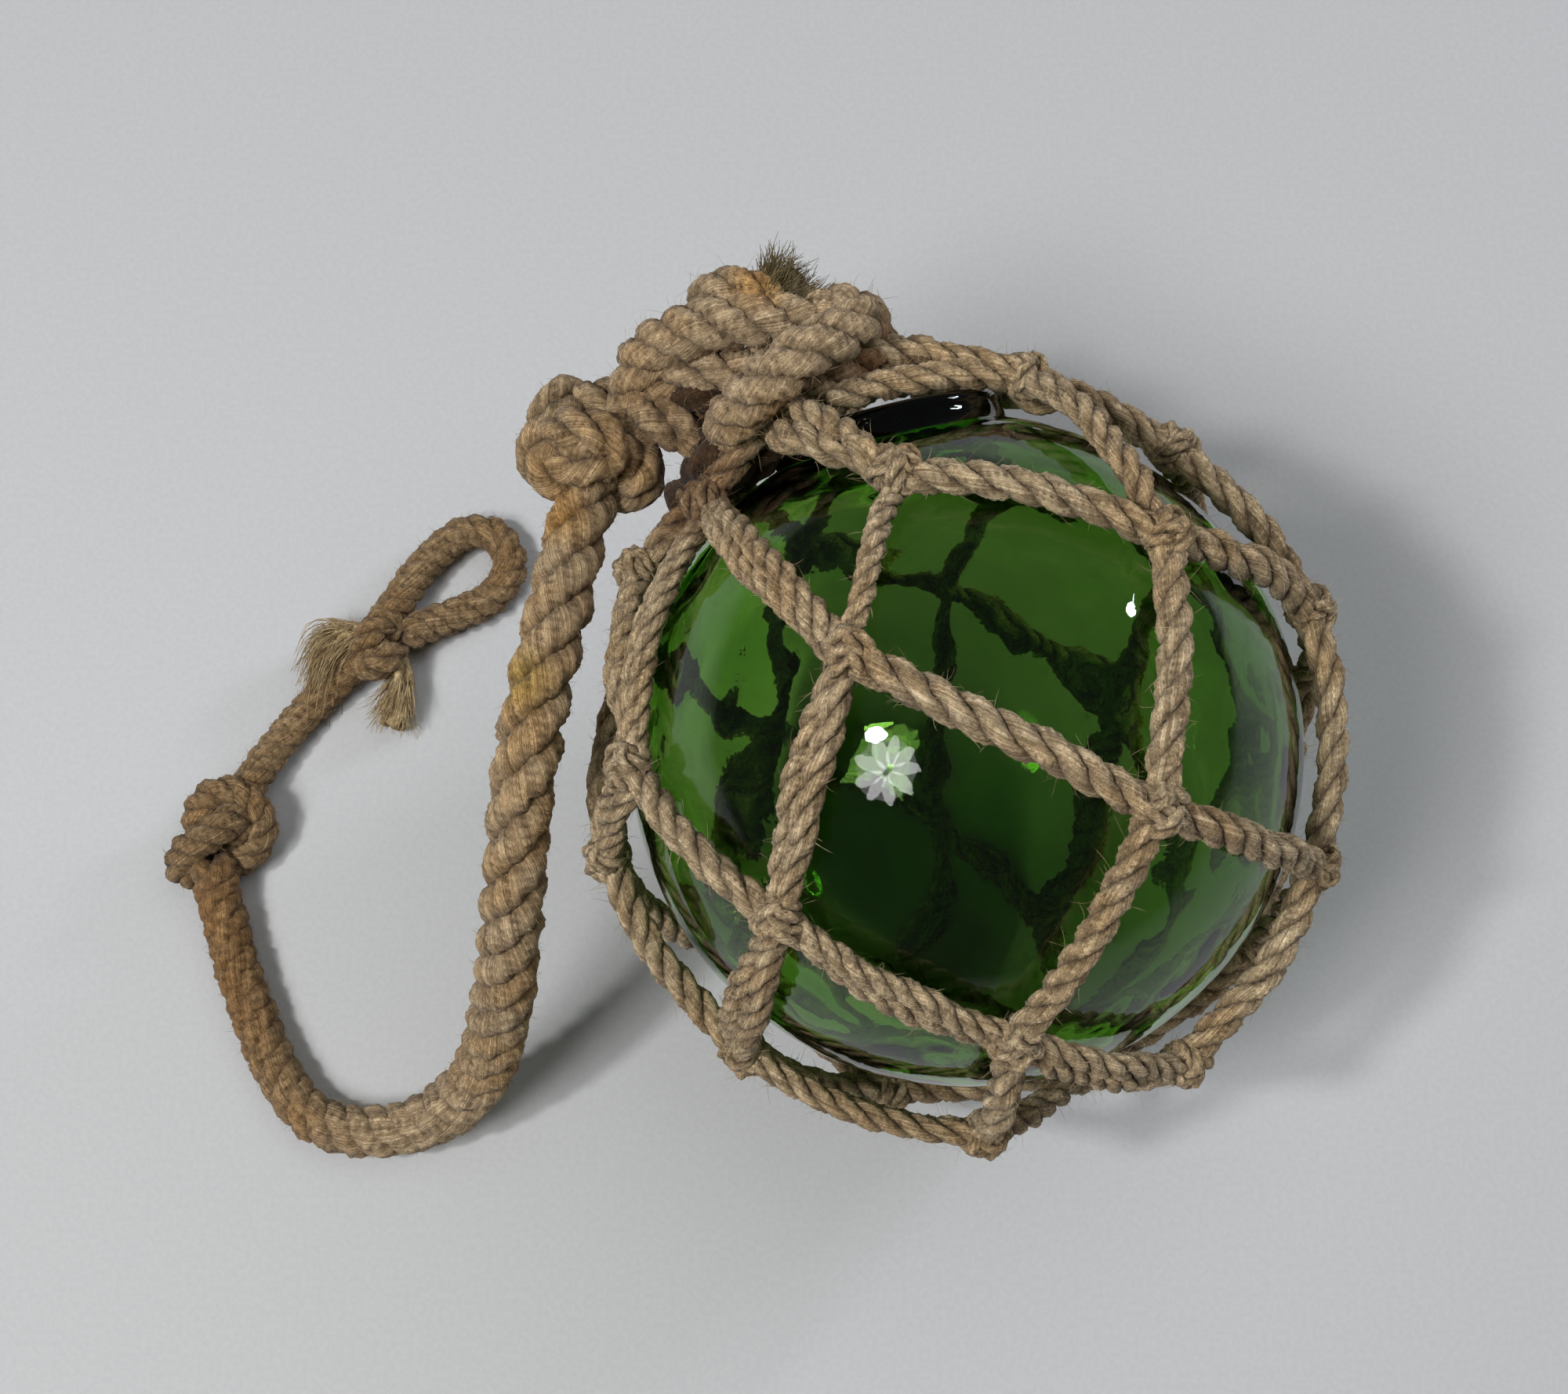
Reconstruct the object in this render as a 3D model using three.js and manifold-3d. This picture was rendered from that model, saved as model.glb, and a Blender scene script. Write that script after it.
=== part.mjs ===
// Glass fishing float in a knotted jute net, with a head knot, a stopper knot and a rope lanyard
// that ends in a small knot and a tied eye. Millimetres, +Z up. The float lies on a table at z = 0,
// and the origin is straight under the middle of the glass. The net's head is at the back left,
// and the lanyard comes forward from it, drops to the table and curls round to the left.

import * as THREE from 'three';
import { mergeVertices } from 'three/addons/utils/BufferGeometryUtils.js';
import Module from 'manifold-3d';

const wasm = await Module();
wasm.setup();

// ---- driving dimensions ----
const GLASS_RADIUS = 75;
const BED = 6.5; // net pressed between the glass and the table
const SEAL_RADIUS = 26.5; // glass button that closes the blow hole
const SEAL_RISE = 2.5; // how far the button stands proud of the ball
const SEAL_THICKNESS = 5.2;
const SEAL_BEVEL = 3.5;
const TWINE_RADIUS = 3.3; // a single leg of the net
const PAIR_RADIUS = 2.4; // each twine of a doubled leg
const KNOT_RADIUS = 5.2;
const ROPE_RADIUS = 7.2; // lanyard from the stopper knot to the table
const LANYARD_END_RADIUS = 5.8; // the same rope where it has thinned, at the small knot
const TAIL_RADIUS = 5.2; // rope from the small knot round the eye
const HEAD_ROPE_RADIUS = 5.9;
const BUNCH_RADIUS = 7; // cords gathered under the head knot
const TUFT_RADIUS = 4.5; // cut end of the head's rope
const GAP = 0.3; // between pieces that touch

const CENTRE = new THREE.Vector3(0, 0, GLASS_RADIUS + BED);
const NET_RADIUS = GLASS_RADIUS + 5.5; // knot centres
const HUG = GLASS_RADIUS + 1.1; // inner side of a leg that lies on the glass
const KNOT_BED = 3.2; // lowest knot centre over the table
const LEG_BED = 2.5;
const PRESS_REACH = 24; // cord this near the ball's lowest point is pressed flat on the table

// A unit vector from its compass heading from +X and its rise over the horizontal, in degrees.
function direction(heading, rise) {
  const h = THREE.MathUtils.degToRad(heading);
  const r = THREE.MathUtils.degToRad(rise);
  return new THREE.Vector3(Math.cos(r) * Math.cos(h), Math.cos(r) * Math.sin(h), Math.sin(r));
}

const NET_AXIS = direction(115, 31); // towards the head
const SEAL_AXIS = direction(104, 14.6); // towards the button
const NET_SIDE = new THREE.Vector3().crossVectors(NET_AXIS, new THREE.Vector3(0, 0, 1)).normalize();
const NET_FRONT = new THREE.Vector3().crossVectors(NET_AXIS, NET_SIDE);

// ---- the net's knots, ring by ring from the head to the closing knot ----
// [angle round the net's axis, angle down from the head, distance over the usual radius]
// Ring letters run down from the head. Knot i of a ring hangs from knots i and i + 1 above it.
const RINGS = {
  A: [[40, 31, 2], [4, 31, 4], [-88, 25, 0], [-194, 24, 1], [-200, 40, 3], [-242, 33, 2], [-282, 31, 2]],
  B: [[-8, 55, 1], [-49, 58, 0], [-114, 52, 0], [-167, 65, 0], [-217, 61, 1], [-265, 60, 0], [-311, 58, 0]],
  C: [[-19, 86, 2], [-78, 89, 0], [-136, 87, 0], [-183, 83, 3], [-242, 86, 0], [-290, 80, 0], [-336, 86, 0]],
  D: [[-36, 122, 1], [-110, 117, 0], [-169, 117, 3], [-213, 119, 2], [-270, 121, 0], [-315, 106, 0], [-357, 116, 0]],
  E: [[-75, 147, 4], [-135, 147, 5], [-190, 148, 6], [-239, 146, 2], [-290, 145, 2], [-336, 142, 2], [-19, 146, 2]],
};
const RING_SIZE = 7;
const CLOSING_RISE = 4; // closing knot over the usual radius
const CLOSING_KNOT_RADIUS = 7.2;

// Legs of two twines side by side. The others are single.
const DOUBLED = new Set([
  'A3 B2', 'A3 B3', 'A4 B3', 'B2 C2', 'B3 C3', 'C2 D1', 'C2 D2', 'D1 E0', 'D2 E1',
]);

// Where the top ring's cords run in under the head knot, in the order of ring A.
const HEAD_ANCHORS = [
  [[-26, 78, 112]],
  [[-24, 80, 122], [-31, 67, 124]],
  [[-42, 58, 128], [-37, 63, 129]],
  [[-50, 60, 117], [-47, 63, 118]],
  [[-54, 55, 109]],
  [[-50, 74, 107]],
  [[-40, 78, 106]],
];

// ---- the head knot, the stopper knot and the lanyard ----
// Middle line of the head's rope: up from the stopper, over the top to the right, down across the
// front, under to the left and back up inside, out to a folded end on the far side.
const HEAD_ROUTE = [
  [-76, 72, 101], [-75, 80, 108], [-69, 85, 117], [-60, 86, 124], [-50, 85, 127], [-40, 83, 128],
  [-30, 81, 127], [-24, 77, 130], [-29, 72, 136], [-37, 67, 137], [-45, 62, 133], [-52, 59, 126],
  [-59, 60, 117], [-66, 64, 109], [-69, 71, 107], [-66, 76, 112], [-59, 77, 117], [-51, 77, 118],
  [-43, 78, 118], [-42, 85, 118], [-48, 91, 119], [-54, 91, 121],
];
const HEAD_BUNCH = [[-27, 79, 120], [-31, 72, 124], [-39, 68, 124], [-48, 66, 117], [-54, 60, 111], [-42, 76, 111]];
const TUFT = [[-45, 88, 122], [-42, 94, 122], [-39, 100, 123]];

const STOPPER_LOBES = [
  [-85, 78, 99, 6.5], [-92, 75, 99, 6.5], [-97, 64, 99, 7.5], [-90, 66, 103, 7.5], [-84, 70, 103, 7],
  [-77, 63, 101, 7], [-74, 58, 99, 7], [-88, 62, 95, 7], [-80, 67, 94, 7.5], [-84, 60, 102, 6],
  [-84, 67, 99, 9],
];

const LANYARD_ROUTE = [
  [-83, 60, 98], [-85, 52, 99], [-88, 38, 100], [-91, 23, 100], [-94, 9, 98.5], [-96.5, -4.5, 95.5],
  [-98.5, -17.5, 90.5], [-100, -29, 83], [-102, -40, 72], [-104.5, -50, 58], [-108, -59, 43],
  [-113, -67, 28], [-121, -73.5, 16], [-131, -78, 9.2], [-141.5, -80, 7.4], [-151.5, -79, 6.9],
  [-160.5, -74, 6.4], [-167.5, -65, 6], [-173, -54, 5.8], [-178, -42, 5.8], [-182, -30, 6.2],
  [-185, -20, 8], [-186, -12.5, 10.5],
];
const LANYARD_TAPER = [0.62, 0.76]; // stretch, by length, where the rope thins
const SMALL_KNOT_LOBES = [
  [-191, -7, 6, 6.5], [-189, 0, 10, 7], [-181.5, 3, 8, 6.5], [-178, -4, 6, 6.5], [-184, -10, 6.5, 6.5],
  [-184.5, -3.5, 13, 7],
];
const TAIL_ROUTE = [
  [-180.5, 5, 9], [-175, 15.5, 6.2], [-168, 25.5, 5.4], [-160.5, 34.5, 5.6], [-154, 40.5, 7.2],
];
const EYE_KNOT_LOBES = [[-152, 42, 5.5, 6], [-147, 45, 10.5, 6.5], [-143, 50, 7, 6.5], [-144, 42, 5, 6]];
const EYE_ROUTE = [
  [-145, 53.5, 9], [-141, 61, 7], [-135, 70.5, 5.6], [-127, 77.5, 5.3], [-118, 77.5, 5.3],
  [-113.5, 69.5, 5.3], [-117.5, 60.5, 5.3], [-126.5, 55.5, 5.5], [-134.5, 52, 6.6], [-140.5, 48.5, 8.4],
];
const BRUSHED_END = [[-150, 45, 9], [-158, 45.5, 9], [-166, 45, 7.5]]; // frayed out wide
const BRUSHED_RADIUS = 6.5;
const SHORT_END = [[-144, 43, 8], [-141.5, 34, 5.2], [-142.5, 25, 4.8]];
const SHORT_RADIUS = 4.3;

// ---- solids ----
const point = ([x, y, z]) => new THREE.Vector3(x, y, z);

function toSolid(geometry) {
  geometry.deleteAttribute('normal');
  geometry.deleteAttribute('uv');
  const merged = mergeVertices(geometry, 1e-4);
  const mesh = new wasm.Mesh({
    numProp: 3,
    vertProperties: new Float32Array(merged.attributes.position.array),
    triVerts: new Uint32Array(merged.index.array),
  });
  return new wasm.Manifold(mesh);
}

function toGeometry(solid) {
  const mesh = solid.getMesh();
  const geometry = new THREE.BufferGeometry();
  geometry.setAttribute('position', new THREE.BufferAttribute(mesh.vertProperties, mesh.numProp));
  geometry.setIndex(new THREE.BufferAttribute(mesh.triVerts, 1));
  geometry.computeVertexNormals();
  return geometry;
}

function fuse(solids) {
  return solids.reduce((whole, next) => whole.add(next));
}

// A closed tube of even radius through the points.
function tube(points, radius, sides, steps) {
  const section = new THREE.Shape();
  for (let i = 0; i < sides; i += 1) {
    const angle = (2 * Math.PI * i) / sides;
    const place = [radius * Math.cos(angle), radius * Math.sin(angle)];
    if (i === 0) section.moveTo(...place);
    else section.lineTo(...place);
  }
  section.closePath();
  const extrudePath = new THREE.CatmullRomCurve3(points, false, 'centripetal');
  return new THREE.ExtrudeGeometry(section, { steps, extrudePath, bevelEnabled: false });
}

const tubeSolid = (points, radius, sides, steps) => toSolid(tube(points, radius, sides, steps));

// A lump of 20 faces. Its corners stand a little outside the radius, as its faces lie inside it.
const LUMP_CORNERS = 1.1;

function lump(centre, radius) {
  const geometry = new THREE.IcosahedronGeometry(LUMP_CORNERS * radius);
  geometry.translate(centre.x, centre.y, centre.z);
  return toSolid(geometry);
}

// ---- glass ----
const BALL_SIDES = 26;
const BALL_RINGS = 13;

// Profile of the ball and its button, turned round the button's axis. grow moves it outwards.
function glassProfile(grow = 0) {
  const radius = GLASS_RADIUS + grow;
  const button = SEAL_RADIUS + grow;
  const neck = Math.asin((button - 1) / radius);
  const profile = [];
  for (let i = 0; i <= BALL_RINGS; i += 1) {
    const angle = Math.PI - ((Math.PI - neck) * i) / BALL_RINGS;
    profile.push(new THREE.Vector2(i === 0 ? 0 : radius * Math.sin(angle), radius * Math.cos(angle)));
  }
  const top = radius + SEAL_RISE;
  profile.push(new THREE.Vector2(button, top - SEAL_THICKNESS));
  profile.push(new THREE.Vector2(button - 0.1 * SEAL_BEVEL, top - 0.6 * SEAL_THICKNESS));
  profile.push(new THREE.Vector2(button - SEAL_BEVEL, top - 0.2 * SEAL_THICKNESS));
  profile.push(new THREE.Vector2(button / 2, top));
  profile.push(new THREE.Vector2(0, top + 0.2));
  return profile;
}

function glass(grow = 0) {
  const geometry = new THREE.LatheGeometry(glassProfile(grow), BALL_SIDES);
  geometry.applyQuaternion(
    new THREE.Quaternion().setFromUnitVectors(new THREE.Vector3(0, 1, 0), SEAL_AXIS));
  geometry.translate(CENTRE.x, CENTRE.y, CENTRE.z);
  return geometry;
}

// ---- net ----
function netDirection([round, down]) {
  const around = THREE.MathUtils.degToRad(round);
  const polar = THREE.MathUtils.degToRad(down);
  return NET_AXIS.clone().multiplyScalar(Math.cos(polar))
    .addScaledVector(NET_SIDE, Math.sin(polar) * Math.cos(around))
    .addScaledVector(NET_FRONT, Math.sin(polar) * Math.sin(around));
}

// Cord under the ball, or that would reach under the table, lies on the table instead.
function layOnTable(place, height) {
  const pressed = place.z < GLASS_RADIUS && Math.hypot(place.x, place.y) < PRESS_REACH;
  place.z = pressed ? height : Math.max(place.z, height);
  return place;
}

function netKnot(place) {
  const at = netDirection(place).multiplyScalar(NET_RADIUS + place[2]).add(CENTRE);
  return layOnTable(at, KNOT_BED);
}

// Radius at which a leg's middle line lies on the glass, or climbs over the button's edge.
const SEAL_CLIMB = [20, 27]; // degrees from the button's axis

function hugRadius(out, radius) {
  const fromSeal = THREE.MathUtils.radToDeg(out.angleTo(SEAL_AXIS));
  const over = 1 - THREE.MathUtils.smoothstep(fromSeal, ...SEAL_CLIMB);
  return HUG + radius + over * SEAL_RISE;
}

// Middle line of a leg from one point to another, bent round the glass. shift moves a twine of a
// doubled leg sideways, less at the knots. A leg between knots that stand off the glass stays slack.
const LEG_SIDES = 4;
const LEG_STEPS = 3;
const SPREAD_AT_KNOT = 0.45;

function legRoute(from, to, radius, shift = 0) {
  const a = from.clone().sub(CENTRE);
  const b = to.clone().sub(CENTRE);
  const side = new THREE.Vector3().crossVectors(a, b).normalize();
  const route = [];
  for (let i = 0; i <= LEG_STEPS; i += 1) {
    const t = i / LEG_STEPS;
    const out = a.clone().normalize().lerp(b.clone().normalize(), t).normalize();
    const spread = shift * Math.max(Math.sin(Math.PI * t), SPREAD_AT_KNOT);
    const chord = THREE.MathUtils.lerp(a.length(), b.length(), t) - 1;
    const slack = chord > NET_RADIUS ? chord : 0;
    const reach = Math.max(hugRadius(out, radius), slack);
    const place = out.multiplyScalar(reach).addScaledVector(side, spread).add(CENTRE);
    route.push(layOnTable(place, Math.min(LEG_BED, radius)));
  }
  return route;
}

function leg(from, to, doubled) {
  const twine = (radius, shift) => tubeSolid(
    legRoute(from, to, radius, shift), radius, LEG_SIDES, LEG_STEPS);
  if (!doubled) return [twine(TWINE_RADIUS, 0)];
  return [twine(PAIR_RADIUS, -PAIR_RADIUS), twine(PAIR_RADIUS, PAIR_RADIUS)];
}

function netSolid() {
  const names = Object.keys(RINGS);
  const knots = names.map((name) => RINGS[name].map(netKnot));
  const closing = netKnot([0, 180, CLOSING_RISE]);
  const solids = knots.flat().map((at) => lump(at, KNOT_RADIUS));
  solids.push(lump(closing, CLOSING_KNOT_RADIUS));
  for (let ring = 0; ring + 1 < names.length; ring += 1) {
    for (let i = 0; i < RING_SIZE; i += 1) {
      for (const above of [i, (i + 1) % RING_SIZE]) {
        const doubled = DOUBLED.has(`${names[ring]}${above} ${names[ring + 1]}${i}`);
        solids.push(...leg(knots[ring][above], knots[ring + 1][i], doubled));
      }
    }
  }
  knots[0].forEach((at, i) => {
    HEAD_ANCHORS[i].forEach((anchor) => solids.push(...leg(at, point(anchor), false)));
  });
  knots.at(-1).forEach((at) => solids.push(...leg(at, closing, false)));
  return fuse(solids);
}

// Everything over the table.
const ROOM = 600;

function overTable() {
  const geometry = new THREE.BoxGeometry(ROOM, ROOM, ROOM);
  geometry.translate(0, 0, ROOM / 2);
  return toSolid(geometry);
}

// ---- knots and rope ----
function headSolid(grow = 0) {
  const rope = tubeSolid(HEAD_ROUTE.map(point), HEAD_ROPE_RADIUS + grow, 6, 28);
  const bunch = HEAD_BUNCH.map((place) => lump(point(place), BUNCH_RADIUS + grow));
  const tuft = tubeSolid(TUFT.map(point), TUFT_RADIUS + grow, 6, 3);
  return fuse([rope, tuft, ...bunch]);
}

function lumps(places) {
  return fuse(places.map(([x, y, z, radius]) => lump(point([x, y, z]), radius)));
}

// The lanyard thins as it turns on the table: each ring of the tube is drawn in to its own radius.
const LANYARD_STEPS = 22;

function lanyard() {
  const geometry = tube(LANYARD_ROUTE.map(point), ROPE_RADIUS, 8, LANYARD_STEPS);
  const path = new THREE.CatmullRomCurve3(LANYARD_ROUTE.map(point), false, 'centripetal');
  const middles = path.getSpacedPoints(LANYARD_STEPS);
  const corners = geometry.attributes.position;
  const corner = new THREE.Vector3();
  for (let i = 0; i < corners.count; i += 1) {
    corner.fromBufferAttribute(corners, i);
    const distances = middles.map((middle) => middle.distanceTo(corner));
    const ring = distances.indexOf(Math.min(...distances));
    const thin = THREE.MathUtils.smoothstep(ring / LANYARD_STEPS, ...LANYARD_TAPER);
    const radius = THREE.MathUtils.lerp(ROPE_RADIUS, LANYARD_END_RADIUS, thin);
    corner.sub(middles[ring]).multiplyScalar(radius / ROPE_RADIUS).add(middles[ring]);
    corners.setXYZ(i, corner.x, corner.y, corner.z);
  }
  return geometry;
}

// A cutter that leaves a socket in a knot for the end of a rope: the rope's first or last
// stretch, thicker by a few gaps, and carried on a gap further.
const SOCKET_LENGTH = 20;

function socket(route, radius, atStart) {
  const near = atStart ? route.slice(0, 2) : route.slice(-2).reverse();
  const [end, next] = near.map(point);
  const out = next.clone().sub(end).normalize();
  const line = [end.clone().addScaledVector(out, -GAP), end.clone().addScaledVector(out, SOCKET_LENGTH)];
  return tubeSolid(line, radius + 3 * GAP, 8, 1);
}

const room = overTable();
const glassCutter = toSolid(glass(GAP));
const headCutter = headSolid(GAP);

const net = netSolid().subtract(fuse([glassCutter, headCutter])).intersect(room);
const head = headSolid().subtract(glassCutter);
const stopper = lumps(STOPPER_LOBES).subtract(headCutter)
  .subtract(socket(LANYARD_ROUTE, ROPE_RADIUS, true));
const smallKnot = lumps(SMALL_KNOT_LOBES).intersect(room)
  .subtract(socket(LANYARD_ROUTE, LANYARD_END_RADIUS, false))
  .subtract(socket(TAIL_ROUTE, TAIL_RADIUS, true));
const eyeEnds = fuse([
  tubeSolid(BRUSHED_END.map(point), BRUSHED_RADIUS, 6, 2),
  tubeSolid(SHORT_END.map(point), SHORT_RADIUS, 6, 2),
]);
const eyeKnot = lumps(EYE_KNOT_LOBES).add(eyeEnds).intersect(room)
  .subtract(socket(TAIL_ROUTE, TAIL_RADIUS, false))
  .subtract(socket(EYE_ROUTE, TAIL_RADIUS, true))
  .subtract(socket(EYE_ROUTE, TAIL_RADIUS, false));

const float = new THREE.Group();
float.name = 'glass_float_ball';

function add(name, geometry, look) {
  const mesh = new THREE.Mesh(geometry, new THREE.MeshStandardMaterial(look));
  mesh.name = name;
  float.add(mesh);
}

const GREEN_GLASS = { color: 0x2f7d1c, roughness: 0.06, metalness: 0 };
const JUTE = { color: 0xa58a66, roughness: 0.92, metalness: 0 };

add('glass_float', glass(), GREEN_GLASS);
add('net', toGeometry(net), JUTE);
add('head_knot', toGeometry(head), JUTE);
add('stopper_knot', toGeometry(stopper), JUTE);
add('lanyard_rope', lanyard(), JUTE);
add('small_knot', toGeometry(smallKnot), JUTE);
add('lanyard_tail', tube(TAIL_ROUTE.map(point), TAIL_RADIUS, 8, 6), JUTE);
add('eye_knot', toGeometry(eyeKnot), JUTE);
add('eye_loop', tube(EYE_ROUTE.map(point), TAIL_RADIUS, 8, 16), JUTE);

export default float;
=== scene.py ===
# A green glass fishing float in its knotted jute net, with a head knot, a stopper knot and a rope
# lanyard that ends in a small knot and a tied eye. Metres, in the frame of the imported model.
# Every rope and twine is laid from its own strands, each a mesh whose fibres run as real ones do.
import math

import bpy
import numpy as np
from mathutils import Matrix, Vector


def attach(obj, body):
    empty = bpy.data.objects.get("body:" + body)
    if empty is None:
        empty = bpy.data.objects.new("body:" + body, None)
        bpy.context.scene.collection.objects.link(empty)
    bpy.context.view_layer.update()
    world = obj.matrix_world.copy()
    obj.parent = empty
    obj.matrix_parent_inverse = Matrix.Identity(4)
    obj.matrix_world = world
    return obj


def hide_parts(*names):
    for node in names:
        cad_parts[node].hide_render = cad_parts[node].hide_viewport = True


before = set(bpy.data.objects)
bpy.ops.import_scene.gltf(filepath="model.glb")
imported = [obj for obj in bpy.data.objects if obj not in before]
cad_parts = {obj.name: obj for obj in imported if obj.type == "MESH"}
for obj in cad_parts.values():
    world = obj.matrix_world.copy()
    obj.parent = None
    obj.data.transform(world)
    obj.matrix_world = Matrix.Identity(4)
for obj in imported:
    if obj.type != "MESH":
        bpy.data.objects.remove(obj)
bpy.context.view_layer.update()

MM = 0.001
SEED = 7

# ---- camera ----
CAMERA_PLACE = (-0.0403, -0.1168, 0.5628)
CAMERA_TILT = 15  # degrees from straight down
LENS = 50.4


def camera():
    data = bpy.data.cameras.new("camera")
    data.lens = LENS
    data.sensor_width = 36
    data.clip_start = 0.01
    eye = bpy.data.objects.new("camera", data)
    eye.location = CAMERA_PLACE
    eye.rotation_euler = (math.radians(CAMERA_TILT), 0, 0)
    bpy.context.scene.collection.objects.link(eye)
    bpy.context.scene.camera = eye


camera()


# ---- nodes and materials ----
def new_material(name):
    material = bpy.data.materials.new(name)
    material.use_nodes = True
    nodes = material.node_tree.nodes
    nodes.clear()
    return material, nodes, material.node_tree.links


def add_node(nodes, kind, **values):
    node = nodes.new(kind)
    for key, value in values.items():
        if key in node.inputs.keys():
            node.inputs[key].default_value = value
        else:
            setattr(node, key, value)
    return node


def colour_ramp(nodes, links, source, stops):
    ramp = nodes.new("ShaderNodeValToRGB")
    while len(ramp.color_ramp.elements) > 1:
        ramp.color_ramp.elements.remove(ramp.color_ramp.elements[0])
    for i, (place, colour) in enumerate(stops):
        stop = ramp.color_ramp.elements[0] if i == 0 else ramp.color_ramp.elements.new(place)
        stop.position = place
        stop.color = (*colour, 1)
    links.new(source, ramp.inputs["Fac"])
    return ramp.outputs["Color"]


def tint(nodes, links, kind, factor, a, b):
    mix = nodes.new("ShaderNodeMixRGB")
    mix.blend_type = kind
    for key, value in (("Fac", factor), ("Color1", a), ("Color2", b)):
        if isinstance(value, bpy.types.NodeSocket):
            links.new(value, mix.inputs[key])
        else:
            mix.inputs[key].default_value = value if isinstance(value, float) else (*value, 1)
    return mix.outputs["Color"]


def noise(nodes, links, vector, stretch, detail=3.0, roughness=0.6):
    scaled = nodes.new("ShaderNodeVectorMath")
    scaled.operation = "MULTIPLY"
    scaled.inputs[1].default_value = stretch
    links.new(vector, scaled.inputs[0])
    texture = add_node(nodes, "ShaderNodeTexNoise", Scale=1.0, Detail=detail, Roughness=roughness)
    links.new(scaled.outputs[0], texture.inputs["Vector"])
    return texture.outputs["Fac"]


def jute(name, dark, mid, pale, stain, groove_shade, spots=(), darker_end=None):
    """Hairy plant fibre: streaks along each strand's fibres, painted shade that darkens the grooves between
    strands and lightens their crests, and broad stains of another colour. spots are (centre, radius,
    colour), and darker_end is (x where it starts, x where it is full, colour)."""
    material, nodes, links = new_material(name)
    fibre = add_node(nodes, "ShaderNodeAttribute", attribute_name="fibre").outputs["Vector"]
    crest = add_node(nodes, "ShaderNodeAttribute", attribute_name="crest").outputs["Fac"]
    place = nodes.new("ShaderNodeTexCoord").outputs["Object"]
    streaks = noise(nodes, links, fibre, (2800, 2800, 120), detail=4.0, roughness=0.68)
    yarns = noise(nodes, links, fibre, (800, 800, 60), detail=2.0)
    broad = noise(nodes, links, place, (45, 45, 45), detail=2.0)
    mottle = noise(nodes, links, place, (420, 420, 420), detail=3.0)
    colour = colour_ramp(nodes, links, streaks, ((0.36, dark), (0.50, mid), (0.65, pale)))
    yarn_tint = colour_ramp(nodes, links, yarns, ((0.34, (0.60, 0.56, 0.52)), (0.60, (1.0, 1.0, 1.0))))
    colour = tint(nodes, links, "MULTIPLY", 0.8, colour, yarn_tint)
    blotch = colour_ramp(nodes, links, mottle, ((0.36, (0.62, 0.60, 0.57)), (0.60, (1.08, 1.08, 1.08))))
    colour = tint(nodes, links, "MULTIPLY", 0.8, colour, blotch)
    stained = colour_ramp(nodes, links, broad, ((0.46, (1.0, 1.0, 1.0)), (0.66, stain)))
    colour = tint(nodes, links, "MULTIPLY", 0.7, colour, stained)
    for centre, radius, spot in spots:
        away = nodes.new("ShaderNodeVectorMath")
        away.operation = "DISTANCE"
        away.inputs[1].default_value = centre
        links.new(place, away.inputs[0])
        share = add_node(nodes, "ShaderNodeMapRange", **{"From Min": 0.35 * radius, "From Max": radius,
                                                         "To Min": 1.0, "To Max": 0.0})
        links.new(away.outputs["Value"], share.inputs["Value"])
        colour = tint(nodes, links, "MULTIPLY", share.outputs["Result"], colour, spot)
    # Darker towards the far end of the lanyard, from the first x to the second.
    if darker_end:
        split = nodes.new("ShaderNodeSeparateXYZ")
        links.new(place, split.inputs[0])
        share = add_node(nodes, "ShaderNodeMapRange", **{"From Min": darker_end[0], "From Max": darker_end[1]})
        links.new(split.outputs["X"], share.inputs["Value"])
        colour = tint(nodes, links, "MULTIPLY", share.outputs["Result"], colour, darker_end[2])
    # Painted shade: the crest attribute darkens the grooves between strands and yarns and lightens the
    # crests.
    groove = colour_ramp(
        nodes, links, crest, ((0.0, groove_shade), (0.58, (0.74, 0.72, 0.70)), (1.0, (1.3, 1.29, 1.27))))
    colour = tint(nodes, links, "MULTIPLY", 1.0, colour, groove)
    bump = add_node(nodes, "ShaderNodeBump", Strength=0.8, Distance=0.0004)
    links.new(streaks, bump.inputs["Height"])
    shader = add_node(
        nodes, "ShaderNodeBsdfPrincipled",
        **{"Roughness": 0.85, "Specular IOR Level": 0.12, "Sheen Weight": 0.08, "Sheen Roughness": 0.5})
    links.new(colour, shader.inputs["Base Color"])
    links.new(bump.outputs["Normal"], shader.inputs["Normal"])
    output = nodes.new("ShaderNodeOutputMaterial")
    links.new(shader.outputs["BSDF"], output.inputs["Surface"])
    return material


ROPE_JUTE = jute("rope_jute", (0.23, 0.166, 0.096), (0.45, 0.330, 0.197), (0.76, 0.605, 0.405),
                 (1.0, 0.84, 0.60), (0.12, 0.09, 0.06),
                 spots=(((-0.089, 0.046, 0.102), 0.009, (1.05, 0.84, 0.48)),
                        ((-0.097, 0.010, 0.104), 0.009, (0.98, 0.96, 0.60)),
                        ((-0.046, 0.090, 0.131), 0.008, (1.05, 0.86, 0.55)),
                        ((-0.023, 0.079, 0.122), 0.013, (0.60, 0.48, 0.40)),
                        ((-0.064, 0.068, 0.107), 0.013, (0.62, 0.55, 0.48)),
                        ((-0.084, 0.066, 0.100), 0.026, (0.86, 0.84, 0.80))),
                 darker_end=(-0.140, -0.176, (0.61, 0.51, 0.40)))
# The net's spot darkens the knots where the twine gathers under the head: painted shade.
NET_JUTE = jute("net_jute", (0.25, 0.185, 0.106), (0.49, 0.376, 0.230), (0.81, 0.67, 0.46),
                (0.85, 0.74, 0.60), (0.12, 0.09, 0.06),
                spots=(((-0.057, 0.051, 0.109), 0.020, (0.42, 0.30, 0.22)),))
TAIL_JUTE = jute("tail_jute", (0.150, 0.094, 0.048), (0.285, 0.194, 0.102), (0.49, 0.352, 0.198),
                 (1.0, 0.86, 0.66), (0.12, 0.085, 0.055))
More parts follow.
